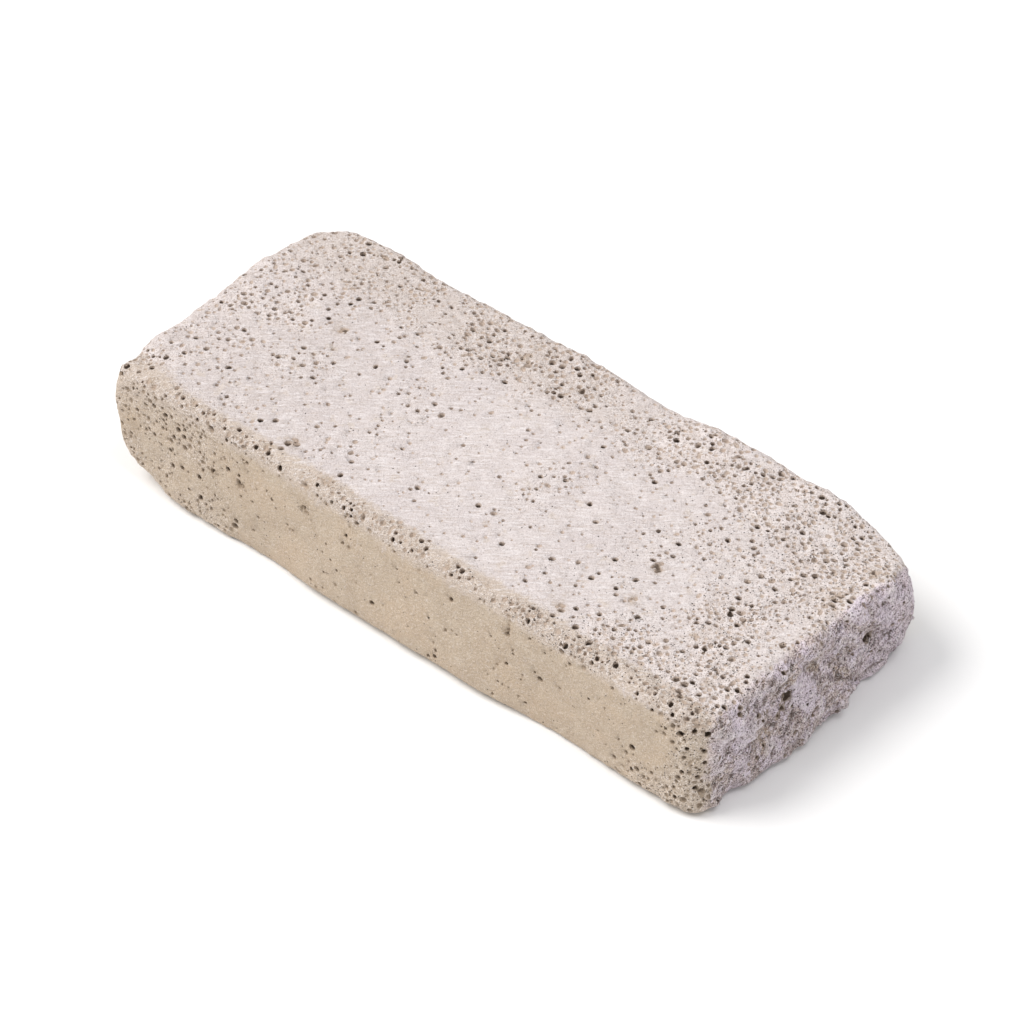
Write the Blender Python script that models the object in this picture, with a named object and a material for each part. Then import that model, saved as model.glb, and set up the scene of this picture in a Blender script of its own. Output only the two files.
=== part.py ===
"""A bar of natural pumice: one block of volcanic glass foam, sawn flat on its long
faces and on one end, worn round at the corners, and broken off rough at the other end.

The bar lies along X with its broken end at +X and rests on z = 0.
"""

import bmesh
import bpy
import numpy as np
from mathutils import Matrix, Vector

MM = 0.001

# Overall size of the block.
LENGTH = 120 * MM
WIDTH = 51 * MM
THICK_SAWN_END = 21.5 * MM
THICK_BROKEN_END = 17.2 * MM

# How far the sides stray from a true box, measured at the named end, corner or foot.
NEAR_SIDE_FLARE = 1.0 * MM
NEAR_SIDE_FOOT = 2.0 * MM
FAR_SIDE_FLARE = 1.2 * MM
SAWN_END_SKEW = 2.2 * MM
SAWN_END_UNDERCUT = 1.0 * MM
BROKEN_END_SETBACK = 1.5 * MM
BROKEN_END_FOOT = 1.0 * MM

# Middle of the worn block's box, where the finished stone has its origin.
BOX_MIDDLE = (-0.2 * MM, -0.8 * MM, 0)

# Radii of the four upright corners, then of the edges round the top and the base.
CORNER_NEAR_SAWN = 2 * MM
CORNER_FAR_SAWN = 9 * MM
CORNER_FAR_BROKEN = 10 * MM
CORNER_NEAR_BROKEN = 4 * MM
TOP_EDGE = {"sawn": 3 * MM, "broken": 2.5 * MM, "near": 2 * MM, "far": 2.5 * MM}
BASE_EDGE = {"sawn": 13 * MM, "broken": 3 * MM, "near": 2 * MM, "far": 3 * MM}
EDGE_BLEND = 4 * MM

# Swells (+) and hollows (-) of the skin, in millimetres: x, y, z, reach, rise.
WORN_SWELLS = (
    (-50, 25, 16, 6, 0.3),
    (-36, 25, 16, 6, -0.2),
    (-4, 26, 16, 6, 0.2),
    (12, 26, 16, 6, -0.7),
    (28, 26, 16, 6, 0.6),
    (42, 26, 16, 6, 0.6),
    (-54, -22, 4, 6, -0.8),
    (-26, -26, 3, 6, -0.6),
    (-12, -26, 3, 6, 0.7),
    (4, -26, 3, 6, 0.7),
    (18, -26, 3, 6, 0.6),
    (31, -26, 3, 6, -0.9),
    (-60, -20, 18, 5, -0.8),
    (-60, 8, 17, 5, 0.8),
    (-60, 20, 17, 6, -0.7),
    (-59, -26, 15, 3.5, 0.8),
    (-57, -22, 22, 2.5, -1.0),
    (-58, -17, 21, 2, 1.0),
    (18, 24, 20, 3, 0.7),
    (35, 24, 19, 3.5, -0.8),
)
BREAK_SWELLS = (
    (57, 23, 19, 8, -3.0),
    (60, 18, 11, 5, 2.4),
    (60, -17, 8, 3, 1.4),
    (60, -12.5, 8, 2.2, -1.4),
    (60, -4, 8.5, 2.4, 1.6),
    (60, -8, 10.5, 1.8, -1.6),
    (60, -16, 2, 3, 1.3),
    (60, -8, 3, 4, 2.0),
    (61, 4, 5, 3, 0.7),
    (59, -2, 16.5, 2.2, 1.0),
    (60, -4, 13.5, 1.5, -1.0),
    (60, 9, 15.5, 2.2, 1.0),
    (60, 11, 8, 2.8, -1.6),
    (60, 19, 14, 4, 0.6),
    (62, 17, 1, 3, -1.2),
)

# Lumps all over: cell size and height, low on the sawn faces and high on the break.
SKIN_WAVES = ((9 * MM, 0.2 * MM), (4 * MM, 0.12 * MM))
BREAK_WAVES = ((7 * MM, 0.7 * MM), (3.5 * MM, 0.6 * MM))
BREAK_DEPTH = 5 * MM
WAVE_SEED = 11
FLAT_BELOW = 1.5 * MM

# Open bubbles that catch the eye, in millimetres: x, y, z, radius.
NOTED_BUBBLES = (
    (-25.5, -21, 20.5, 1.0),
    (-15.5, -24, 20, 0.95),
    (-18, -26, 19, 1.0),
    (-27.5, -24.5, 20.5, 0.8),
    (-43, -24.5, 21, 0.75),
    (-52, -25, 21, 0.75),
    (10, -25.5, 18.5, 0.7),
    (16.5, -25, 19, 0.75),
    (27.5, -21, 18.5, 0.95),
    (-39, 4, 21, 0.95),
    (-13, 18.5, 20, 0.95),
    (33, -5.5, 18, 0.85),
    (34.5, -13, 18, 0.9),
    (46, -13, 18, 0.8),
    (55.5, 7.5, 17, 0.95),
    (56.5, 16, 16, 0.95),
    (53, -19, 17.5, 0.85),
    (57, -26, 16, 0.8),
    (-32, -27, 12, 1.0),
    (-18, -27, 14.5, 0.8),
    (-37.5, -27, 11.5, 0.7),
    (-21, -27, 9, 0.7),
    (56.5, -27, 10, 0.8),
    (60, -7.5, 11, 1.3),
    (60, -9, 9.5, 0.9),
    (60, 11, 8.5, 1.3),
    (61, -13, 4, 0.8),
    (60, -13, 11, 0.8),
)

# The other open bubbles fall where they may. Each is a pit with five sides, its depth
# and its height above the skin given in radii.
BUBBLE_COUNT = 385
BUBBLE_RADII = (0.45 * MM, 0.85 * MM)
BUBBLE_GAP = 0.5 * MM
BUBBLE_SEED = 5
PIT_SIDES = 5
PIT_DEPTH = 0.9
PIT_TOP = 0.3
REST_POINT_CLEARANCE = 3.5 * MM

GRID_CUTS = (59, 25, 10)
KEPT_FACES = 0.25
LATTICE = 32


def smoothstep(low, high, value):
    t = np.clip((value - low) / (high - low), 0, 1)
    return t * t * (3 - 2 * t)


def mix(a, b, t):
    return a + (b - a) * t


def meet(a, b, radius):
    """Distance outside two faces that meet in an edge of this radius."""
    past_a = np.maximum(a + radius, 0)
    past_b = np.maximum(b + radius, 0)
    return np.minimum(np.maximum(a, b), -radius) + np.hypot(past_a, past_b)


def waves(points, cell, seed):
    """Smooth random values from -1 to 1 that change over about one cell."""
    lattice = np.random.default_rng(seed).uniform(-1, 1, (LATTICE,) * 3)
    place = points / cell
    corner = np.floor(place).astype(int)
    part = place - corner
    part = part * part * (3 - 2 * part)
    total = np.zeros(len(points))
    for step in np.ndindex(2, 2, 2):
        weight = np.prod(np.where(step, part, 1 - part), axis=1)
        i, j, k = ((corner + step) % LATTICE).T
        total += weight * lattice[i, j, k]
    return total


def side_distances(points):
    """Distance outside each side of the block; the name says which."""
    x, y, z = points.T
    along = x / LENGTH + 0.5
    across = y / WIDTH + 0.5
    low = 1 - z / THICK_SAWN_END
    near = WIDTH / 2 + NEAR_SIDE_FLARE * along + NEAR_SIDE_FOOT * low
    sawn = LENGTH / 2 + SAWN_END_SKEW * across - SAWN_END_UNDERCUT * low
    broken = LENGTH / 2 - BROKEN_END_SETBACK * (1 - across) + BROKEN_END_FOOT * low
    return {
        "near": -y - near,
        "far": y - WIDTH / 2 - FAR_SIDE_FLARE * along,
        "sawn": -x - sawn,
        "broken": x - broken,
    }


def blended_radius(radii, sides):
    """The edge radius here: each side counts by how close it is."""
    weights = {name: np.exp(np.minimum(d, 0) / EDGE_BLEND) for name, d in sides.items()}
    total = sum(weights.values())
    return sum(radii[name] * weight for name, weight in weights.items()) / total


def skin(points):
    """About how far each point lies outside the worn block, without its bubbles."""
    x, y, z = points.T
    along = smoothstep(-LENGTH / 2, LENGTH / 2, x)
    across = smoothstep(-WIDTH / 2, WIDTH / 2, y)
    sides = side_distances(points)
    corner = mix(
        mix(CORNER_NEAR_SAWN, CORNER_NEAR_BROKEN, along),
        mix(CORNER_FAR_SAWN, CORNER_FAR_BROKEN, along),
        across,
    )
    around = meet(
        np.maximum(sides["sawn"], sides["broken"]),
        np.maximum(sides["near"], sides["far"]),
        corner,
    )
    top = mix(THICK_SAWN_END, THICK_BROKEN_END, x / LENGTH + 0.5)
    height = smoothstep(0.3, 0.7, z / THICK_SAWN_END)
    edge = mix(blended_radius(BASE_EDGE, sides), blended_radius(TOP_EDGE, sides), height)
    distance = meet(around, np.maximum(z - top, -z), edge)
    off_base = smoothstep(0, FLAT_BELOW, z)
    return distance - off_base * relief(points, sides["broken"])


def relief(points, past_break):
    """Height of the lumps on the skin: small ones all over, big ones on the break."""
    height = np.zeros(len(points))
    for *centre, reach, rise in WORN_SWELLS + BREAK_SWELLS:
        away = ((points / MM - centre) ** 2).sum(axis=1)
        height += rise * MM * np.exp(-away / (2 * reach**2))
    on_break = smoothstep(-BREAK_DEPTH, 0, past_break)
    for number, (cell, rise) in enumerate(SKIN_WAVES):
        height += rise * waves(points, cell, WAVE_SEED + number)
    for number, (cell, rise) in enumerate(BREAK_WAVES):
        rough = waves(points, cell, WAVE_SEED + 10 + number)
        height += on_break * rise * rough
    return height


def on_skin(starts, ways):
    """Where rays from inside the block first come out through its skin."""
    inner = np.zeros(len(starts))
    outer = np.full(len(starts), LENGTH)
    for _ in range(40):
        middle = (inner + outer) / 2
        outside = skin(starts + ways * middle[:, None]) > 0
        outer = np.where(outside, middle, outer)
        inner = np.where(outside, inner, middle)
    return starts + ways * inner[:, None]


def inner_point(points):
    """The nearest place on the flat rectangle deep inside the block."""
    deep = THICK_SAWN_END / 2
    reach = np.array((LENGTH / 2 - deep, WIDTH / 2 - deep, 0))
    return np.clip(points - (0, 0, deep), -reach, reach) + (0, 0, deep)


def pushed_to_skin(points):
    """The points moved onto the skin, straight out from the middle of the block."""
    starts = inner_point(points)
    ways = points - starts
    ways /= np.linalg.norm(ways, axis=1)[:, None]
    return on_skin(starts, ways), ways


def openness(points, ways):
    """How likely a big bubble is open here, from 0 to 1: the ends are full of them."""
    x, y, z = points.T / MM
    to_break = smoothstep(20, 50, x)
    to_sawn = smoothstep(25, 52, -x)
    level = np.abs(ways[:, 2]) > 0.75
    flat = 0.15 + 0.35 * smoothstep(4, 20, y) + 0.5 * to_break + 0.35 * to_sawn
    upright = 0.05 + 0.5 * smoothstep(28, 50, -x) + 0.9 * smoothstep(46, 56, x)
    arris = 0.35 * np.exp(-(((y + 24) / 2) ** 2) - ((z - 19) / 3) ** 2)
    return np.where(level, flat, upright) + arris


def box_points(rng, count):
    """Random places spread evenly over the faces of the block's box."""
    size = np.array((LENGTH, WIDTH, THICK_SAWN_END))
    areas = np.prod(size) / size
    axes = rng.choice(3, count, p=areas / areas.sum())
    places = rng.uniform(-0.5, 0.5, (count, 3))
    places[np.arange(count), axes] = rng.choice((-0.5, 0.5), count)
    return (places + (0, 0, 0.5)) * size


def big_bubbles():
    """Places on the skin, ways out of it and radii of the big open bubbles."""
    rng = np.random.default_rng(BUBBLE_SEED)
    noted = np.array(NOTED_BUBBLES) * MM
    strays = box_points(rng, BUBBLE_COUNT * 12)
    places, ways = pushed_to_skin(np.concatenate((noted[:, :3], strays)))
    chances = openness(places, ways)
    chances[: len(noted)] = 1
    radii = mix(*BUBBLE_RADII, rng.random(len(places)) ** 2)
    radii[: len(noted)] = noted[:, 3]
    clear = np.linalg.norm(places, axis=1) > radii + REST_POINT_CLEARANCE
    kept = []
    for number in np.flatnonzero(clear & (rng.random(len(places)) < chances)):
        away = np.linalg.norm(places[kept] - places[number], axis=1)
        if np.all(away > radii[kept] + radii[number] + BUBBLE_GAP):
            kept.append(number)
        if len(kept) == BUBBLE_COUNT:
            break
    return places[kept], ways[kept], radii[kept]


def collection(name):
    made = bpy.data.collections.new(name)
    bpy.context.scene.collection.children.link(made)
    return made


def object_from(bm, name, home):
    mesh = bpy.data.meshes.new(name)
    bm.to_mesh(mesh)
    bm.free()
    made = bpy.data.objects.new(name, mesh)
    made.location = -Vector(BOX_MIDDLE)
    home.objects.link(made)
    return made


def cut_across(bm, axis, cuts):
    """Cuts every edge of a box that runs along this axis."""
    runs = [
        e
        for e in bm.edges
        if abs((e.verts[1].co - e.verts[0].co).normalized()[axis]) > 0.9
    ]
    bmesh.ops.subdivide_edges(bm, edges=runs, cuts=cuts)


def make_block(home):
    """The block without its bubbles: a fine box pushed out to the worn skin."""
    bm = bmesh.new()
    bmesh.ops.create_cube(bm, size=1)
    for axis, cuts in enumerate(GRID_CUTS):
        cut_across(bm, axis, cuts)
    size = np.array((LENGTH, WIDTH, THICK_SAWN_END))
    box = (np.array([v.co for v in bm.verts]) + (0, 0, 0.5)) * size
    places, _ = pushed_to_skin(box)
    places[places[:, 2] < 0.01 * MM, 2] = 0
    for vertex, place in zip(bm.verts, places):
        vertex.co = Vector(place)
    return object_from(bm, "pumice_stone", home)


def add_ball(bm, radius, place):
    """A round bubble, its middle a little below the skin."""
    deeper = Matrix.Translation((0, 0, -0.3 * radius))
    bmesh.ops.create_icosphere(bm, subdivisions=1, radius=radius, matrix=place @ deeper)


def add_pit(bm, radius, place):
    """A small bubble as a pointed pit that is this wide where it meets the skin."""
    bmesh.ops.create_cone(
        bm,
        cap_ends=True,
        segments=PIT_SIDES,
        radius1=0,
        radius2=radius * (PIT_DEPTH + PIT_TOP) / PIT_DEPTH,
        depth=radius * (PIT_DEPTH + PIT_TOP),
        matrix=place @ Matrix.Translation((0, 0, radius * (PIT_TOP - PIT_DEPTH) / 2)),
    )


def make_cutter(home):
    """All the big bubbles as one mesh, each turned at random about its way out."""
    rng = np.random.default_rng(BUBBLE_SEED)
    bm = bmesh.new()
    for number, (spot, way, radius) in enumerate(zip(*big_bubbles())):
        turn = Vector(way).to_track_quat("Z", "Y").to_matrix().to_4x4()
        turn @= Matrix.Rotation(rng.uniform(0, 6.28), 4, "Z")
        add = add_ball if number < len(NOTED_BUBBLES) else add_pit
        add(bm, radius, Matrix.Translation(Vector(spot)) @ turn)
    cutter = object_from(bm, "bubble_cutter", home)
    cutter.hide_render = True
    cutter.display_type = "WIRE"
    return cutter


def pumice_material():
    material = bpy.data.materials.new("pumice")
    material.use_nodes = True
    surface = material.node_tree.nodes["Principled BSDF"]
    surface.inputs["Base Color"].default_value = (0.62, 0.55, 0.5, 1)
    surface.inputs["Roughness"].default_value = 0.95
    surface.inputs["Metallic"].default_value = 0
    return material


def main():
    for old in list(bpy.data.objects):
        bpy.data.objects.remove(old)
    stone = make_block(collection("pumice_bar"))
    stone.data.materials.append(pumice_material())
    thinner = stone.modifiers.new("fewer faces", "DECIMATE")
    thinner.ratio = KEPT_FACES
    bubbles = stone.modifiers.new("open bubbles", "BOOLEAN")
    bubbles.operation = "DIFFERENCE"
    bubbles.solver = "EXACT"
    bubbles.object = make_cutter(collection("cutters"))


main()
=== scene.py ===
"""Looks of the pumice bar: the same worn block as the solid, opened by thousands of
bubbles, with its powdery top, tan sides and grey-lilac broken end.

Lengths are metres, unless a comment says millimetres or the places were divided by MM.
"""

from types import SimpleNamespace

import bpy
import numpy as np
import openvdb
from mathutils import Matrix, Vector
from mathutils.kdtree import KDTree


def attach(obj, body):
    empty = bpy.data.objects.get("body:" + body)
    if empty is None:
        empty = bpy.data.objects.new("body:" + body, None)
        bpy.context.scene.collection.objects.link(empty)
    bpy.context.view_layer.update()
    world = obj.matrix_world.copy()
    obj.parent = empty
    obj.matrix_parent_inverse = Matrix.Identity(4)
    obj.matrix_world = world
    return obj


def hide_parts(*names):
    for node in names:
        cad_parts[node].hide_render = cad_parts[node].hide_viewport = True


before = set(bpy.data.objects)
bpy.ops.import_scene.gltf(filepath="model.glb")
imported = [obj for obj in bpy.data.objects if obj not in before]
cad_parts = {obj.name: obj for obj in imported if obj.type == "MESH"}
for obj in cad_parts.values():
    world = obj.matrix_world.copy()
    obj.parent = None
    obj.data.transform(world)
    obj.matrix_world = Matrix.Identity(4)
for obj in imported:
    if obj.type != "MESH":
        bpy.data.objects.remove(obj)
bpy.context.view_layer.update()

MM = 0.001

# The worn block, sized as in the solid.
LENGTH = 120 * MM
WIDTH = 51 * MM
THICK_SAWN_END = 21.5 * MM
THICK_BROKEN_END = 17.2 * MM
NEAR_SIDE_FLARE = 1.0 * MM
NEAR_SIDE_FOOT = 2.0 * MM
FAR_SIDE_FLARE = 1.2 * MM
SAWN_END_SKEW = 2.2 * MM
SAWN_END_UNDERCUT = 1.0 * MM
BROKEN_END_SETBACK = 1.5 * MM
BROKEN_END_FOOT = 1.0 * MM
BOX_MIDDLE = (-0.2 * MM, -0.8 * MM, 0)
CORNER_NEAR_SAWN = 2 * MM
CORNER_FAR_SAWN = 9 * MM
CORNER_FAR_BROKEN = 10 * MM
CORNER_NEAR_BROKEN = 4 * MM
TOP_EDGE = {"sawn": 3 * MM, "broken": 2.5 * MM, "near": 2 * MM, "far": 2.5 * MM}
BASE_EDGE = {"sawn": 13 * MM, "broken": 3 * MM, "near": 2 * MM, "far": 3 * MM}
EDGE_BLEND = 4 * MM

# Swells (+) and hollows (-) of the skin, in millimetres: x, y, z, reach, rise.
WORN_SWELLS = (
    (-50, 25, 16, 6, 0.3),
    (-36, 25, 16, 6, -0.2),
    (-4, 26, 16, 6, 0.2),
    (12, 26, 16, 6, -0.7),
    (28, 26, 16, 6, 0.6),
    (42, 26, 16, 6, 0.6),
    (-54, -22, 4, 6, -0.8),
    (-26, -26, 3, 6, -0.6),
    (-12, -26, 3, 6, 0.7),
    (4, -26, 3, 6, 0.7),
    (18, -26, 3, 6, 0.6),
    (31, -26, 3, 6, -0.9),
    (-60, -20, 18, 5, -0.8),
    (-60, 8, 17, 5, 0.8),
    (-60, 20, 17, 6, -0.7),
    (-59, -26, 15, 3.5, 0.8),
    (-57, -22, 22, 2.5, -1.0),
    (-58, -17, 21, 2, 1.0),
    (18, 24, 20, 3, 0.7),
    (35, 24, 19, 3.5, -0.8),
)
BREAK_SWELLS = (
    (57, 23, 19, 8, -3.0),
    (60, 18, 11, 5, 2.4),
    (60, -17, 8, 3, 1.4),
    (60, -12.5, 8, 2.2, -1.4),
    (60, -4, 8.5, 2.4, 1.6),
    (60, -8, 10.5, 1.8, -1.6),
    (60, -16, 2, 3, 1.3),
    (60, -8, 3, 4, 2.0),
    (61, 4, 5, 3, 0.7),
    (59, -2, 16.5, 2.2, 1.0),
    (60, -4, 13.5, 1.5, -1.0),
    (60, 9, 15.5, 2.2, 1.0),
    (60, 11, 8, 2.8, -1.6),
    (60, 19, 14, 4, 0.6),
    (62, 17, 1, 3, -1.2),
)
SKIN_WAVES = ((9 * MM, 0.2 * MM), (4 * MM, 0.12 * MM))
BREAK_WAVES = ((7 * MM, 0.7 * MM), (3.5 * MM, 0.6 * MM))
BREAK_DEPTH = 5 * MM
WAVE_SEED = 11
FLAT_BELOW = 1.5 * MM
LATTICE = 32

# What the torn surface of the broken end adds: lumps and crumbs as cell size and height,
# and strands that lean by this many degrees and are this many times as long as wide.
BREAK_LUMPS = ((2.6 * MM, 0.65 * MM), (1.2 * MM, 0.4 * MM))
BREAK_CRUMBS = ((0.85 * MM, 0.36 * MM), (0.45 * MM, 0.24 * MM))
CRUMBS_CALMED = 0.85
STRAND_CELL = 0.5 * MM
STRAND_RISE = 0.14 * MM
STRAND_SLOPE = 60
STRAND_STRETCH = 4
CALM_CELL = 4 * MM
LOBE_RISE = 0.4 * MM
CREVICE_DEPTH = 1 * MM

# The torn surface begins this far inside the end: on its face, at its top edge and at its
# near corner, with an outline that wanders by these cells and heights.
TORN_INSIDE = {"face": 3.2 * MM, "top": 1.2 * MM, "near": 0.4 * MM}
TORN_OUTLINE = ((2.2 * MM, 0.5 * MM), (0.9 * MM, 0.3 * MM))

# Only the grid past this x is torn, and only within this distance of the skin.
BREAK_BEGINS = 52 * MM
BREAK_REACH = 1.3 * MM

# Seeds of the random waves that the solid doesn't have.
TORN_OUTLINE_SEED = 31
PATCH_SEED = 41
ARRIS_SEED = 43
LUMP_SEED = 51
CRUMB_SEED = 54
STRAND_SEED = 56
CALM_SEED = 58
SPOT_SEED = 59

# On the broken end, in millimetres: smooth pale lobes and brown patches as y, z, reach,
# and crevices as y, z, reach, depth.
LOBES = (
    (7.6, 16.9, 2.0),
    (-5.1, 9.6, 2.4),
    (-5.8, 12.4, 1.7),
    (13.2, 12.6, 1.8),
    (-19.8, 13.4, 1.6),
    (-19.4, 9.5, 1.4),
    (-19.2, 6.0, 1.8),
)
BROWN_PATCHES = (
    (10.4, 11.6, 1.9),
    (-8.4, 14.0, 1.5),
    (-1.4, 12.8, 1.9),
    (-15.4, 10.9, 1.6),
    (-13.4, 6.1, 1.8),
    (3.5, 7.5, 1.6),
)
CREVICES = (
    (7.7, 13.0, 1.1, 1.0),
    (9.2, 12.2, 0.8, 0.6),
    (-10.0, 12.9, 1.1, 1.1),
    (-8.6, 14.2, 1.0, 0.8),
    (-6.4, 16.0, 1.3, 0.5),
    (-1.7, 10.4, 0.8, 0.6),
    (0.2, 11.3, 0.8, 0.5),
    (6.5, 6.8, 0.9, 0.6),
    (-8.5, 7.2, 1.1, 0.7),
    (-10.6, 6.6, 0.9, 0.5),
)

# The spots' outlines wobble by this many millimetres over this cell.
SPOT_WOBBLE = 0.7
SPOT_WOBBLE_CELL = 1.4 * MM

# Grit on the skin: its height where smooth and where rough, its cell in grid steps, and
# how much higher the knobs of the larger cell are.
GRIT_SMOOTH = 0.02 * MM
GRIT_ROUGH = 0.08 * MM
GRIT_CELL = 3
KNOB_CELL = 8
KNOBS = 4
GRIT_SEED = 21
KNOB_SEED = 22

# Open bubbles that catch the eye, in millimetres: x, y, z, radius.
NOTED_BUBBLES = (
    (-25.5, -21, 20.5, 1.0),
    (-15.5, -24, 20, 0.95),
    (-18, -26, 19, 1.0),
    (-27.5, -24.5, 20.5, 0.8),
    (-43, -24.5, 21, 0.75),
    (-52, -25, 21, 0.75),
    (10, -25.5, 18.5, 0.7),
    (16.5, -25, 19, 0.75),
    (27.5, -21, 18.5, 0.95),
    (-39, 4, 21, 0.95),
    (-13, 18.5, 20, 0.95),
    (33, -5.5, 18, 0.85),
    (34.5, -13, 18, 0.9),
    (46, -13, 18, 0.8),
    (55.5, 7.5, 17, 0.95),
    (56.5, 16, 16, 0.95),
    (53, -19, 17.5, 0.85),
    (57, -26, 16, 0.8),
    (-32, -27, 12, 1.0),
    (-18, -27, 14.5, 0.8),
    (-37.5, -27, 11.5, 0.7),
    (-21, -27, 9, 0.7),
    (56.5, -27, 10, 0.8),
    (60, -7.5, 11, 1.3),
    (60, -9, 9.5, 0.9),
    (60, 11, 8.5, 1.3),
    (61, -13, 4, 0.8),
    (60, -13, 11, 0.8),
)

# Small bubbles along a crack in the near side, in millimetres: x, y, z, radius.
CRACK = (
    (22.5, -27, 17, 0.45),
    (22.8, -27, 16.2, 0.3),
    (22.6, -27, 15.4, 0.26),
    (22.7, -27, 14.6, 0.34),
    (22.6, -27, 13.8, 0.46),
)

# How far the brown stain round a noted bubble reaches, in its radii, and how much further
# it reaches round the crack's small ones.
STAIN_REACH = 1.2
CRACK_STAIN = 1.6

# Sizes of open bubbles, largest first: smallest and largest radius in millimetres, how
# many places are tried, the share taken where bubbles are sparse, and how many times
# more are taken in foam.
BUBBLE_KINDS = (
    (0.31, 0.52, 120_000, 0.0007, 900),
    (0.21, 0.33, 200_000, 0.0024, 300),
    (0.15, 0.22, 240_000, 0.002, 190),
)
BUBBLE_SEED = 5
STEPS_TO_SKIN = 4

# Each noted bubble is this many run together. Their spread and radii are shares of its
# radius.
CLUSTER = 5
CLUSTER_SPREAD = 0.45
CLUSTER_RADII = (0.28, 0.52)

# The least wall left between two bubbles, and how uneven a bubble is against its radius.
WALL = 0.12 * MM
UNEVEN = 0.28

# On the broken end: how full of bubbles it is, and by what share they are smaller.
BREAK_RICHNESS = 0.42
BREAK_SMALLER = 0.22

# A bubble's kind is drawn from 0 to 1. It is deep below the first share and a dish above
# the second, each given for sparse skin and for foam. The noted ones have a set kind.
DEEP_BELOW = (0.6, 0.2)
DISH_ABOVE = (0.85, 0.42)
NOTED_KIND = 0.6

# How long bubbles are against their width, and how far below the skin their centres lie,
# in radii.
DEEP_STRETCH = (1.4, 2.0)
OTHER_STRETCH = (1.0, 1.5)
DEEP_SINK = (0.2, 0.6)
DISH_SINK = (-0.6, -0.1)
ROUND_SINK = (0.0, 0.35)

# How much deep bubbles lean from straight in, and the others along the brush marks.
DEEP_LEAN = 0.25
BRUSH_LEAN = 0.7

# The brush marks on the top turn this many degrees from the block's length.
STREAK_TURN = 41

# The mesh is read off a grid of distances. The block's shape is worked out on one that is
# this many times coarser. Both reach past these two corners of the block, which are in
# millimetres, by the margin.
VOXEL = 0.15 * MM
COARSE = 4
BLOCK_LOW = (-63.3, -29.0, 0)
BLOCK_HIGH = (62.7, 28.4, 22.2)
GRID_MARGIN = 1.2 * MM

# The mesh has larger triangles where it is flat to this slack, and is thinned to so many.
MESH_SLACK = 0.01
MOST_FACES = 192_000

# What stands out or lies low is read against means over cubes of this many grid steps,
# from distances no further out or in than this.
CREST_STEPS = 5
CREST_LIMIT = 0.6 * MM

# The top edge of the near side, in millimetres: its y, how far below the top it lies, how
# far it wanders, and how far its colour reaches along the side and near the sawn end.
ARRIS_Y = -25.4
ARRIS_BELOW_TOP = 0.6
ARRIS_WANDER = 0.5
ARRIS_REACH = (2.2, 4.5)

# What the mesh tells the material at each point.
VALUES = (
    "depth",
    "sunk",
    "crest",
    "torn",
    "calm",
    "brown",
    "edge",
    "stain",
    "rich",
    "upright",
)

# Colours of the worn skin, as linear light: powdery top, foam, tan sides and stains.
POWDER = ((0.64, 0.575, 0.565), (0.675, 0.61, 0.595))
POWDER_AT_SAWN_END = (0.60, 0.535, 0.52)
FOAM = ((0.73, 0.64, 0.605), (0.83, 0.75, 0.73))
TOP_BLOTCH = (0.58, 0.48, 0.38)
TOP_FAR_EDGE = (0.58, 0.50, 0.45)
TAN = ((0.465, 0.37, 0.275), (0.515, 0.42, 0.32))
TAN_WARM = (0.53, 0.41, 0.295)
TAN_FOAM = (0.66, 0.56, 0.47)
ARRIS = (0.56, 0.465, 0.385)
STAIN = (0.40, 0.30, 0.21)

# Colours of the broken end, with painted highlight on bulges and painted shade in crevices
# and hollows.
LILAC = ((0.68, 0.55, 0.52), (0.74, 0.63, 0.73))
LILAC_AT_NEAR_CORNER = (0.63, 0.515, 0.43)
LILAC_AT_FAR_CORNER = (0.85, 0.725, 0.83)
LILAC_PATCH = (0.49, 0.385, 0.355)
LILAC_BROWN = (0.53, 0.40, 0.29)
LOBE = (0.72, 0.62, 0.71)
CRUMB_DARK = (0.17, 0.125, 0.125)
STRAND_PALE = (0.90, 0.81, 0.89)
STRAND_DARK = (0.18, 0.135, 0.135)
# Painted highlight: paler where the torn surface stands above the worn skin.
RAISED_PAINTED_HIGHLIGHT = (0.84, 0.77, 0.83)
# Painted shade: dark brown where the torn surface sinks below the worn skin.
CREVICE_PAINTED_SHADE = (0.22, 0.16, 0.12)
# Painted shade: near black in the hollows between lumps of the torn surface.
HOLLOW_PAINTED_SHADE = (0.14, 0.105, 0.095)

# Marks and bubbles on both, with rims pale from wear and painted highlight, and painted
# shade deep in bubbles and pits.
STREAK_DARK = (0.52, 0.44, 0.395)
STREAK_PALE = (0.86, 0.81, 0.81)
GRAIN_PALE = (0.92, 0.86, 0.83)
GRAIN_DARK = (0.25, 0.19, 0.16)
# Pale crests between bubbles: partly worn powder-white, partly painted highlight.
RIM_WEAR_AND_HIGHLIGHT = (0.86, 0.79, 0.76)
BUBBLE_WALL_ON_TOP = (0.53, 0.415, 0.33)
BUBBLE_WALL_ON_SIDE = (0.36, 0.275, 0.20)
# Painted shade deep inside the open bubbles.
BUBBLE_PAINTED_SHADE = (0.09, 0.063, 0.045)
# Painted shade in the tiny pits that only the material draws.
PIT_PAINTED_SHADE = (0.085, 0.06, 0.05)

# Camera, whose azimuth and elevation are in degrees.
LENS = 120
SENSOR = 36
CAMERA_AZIMUTH = 40.97
CAMERA_ELEVATION = 40.28
CAMERA_DISTANCE = 538.7 * MM
CAMERA_TARGET = (-3.7 * MM, 6.8 * MM, 0)

# Studio: lights as place, size, power in watts and colour, all aimed at the origin.
LIGHTS = {
    "key": ((-1.0, -0.7, 1.6), 1.3, 29, (1, 0.98, 0.96)),
    "top": ((0.6, 0, 1.6), 0.6, 5, (0.97, 0.97, 1)),
}
WORLD_STRENGTH = 0.66
FLOOR_SIZE = 6
FLOOR_GREY = (0.9, 0.9, 0.9)


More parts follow.
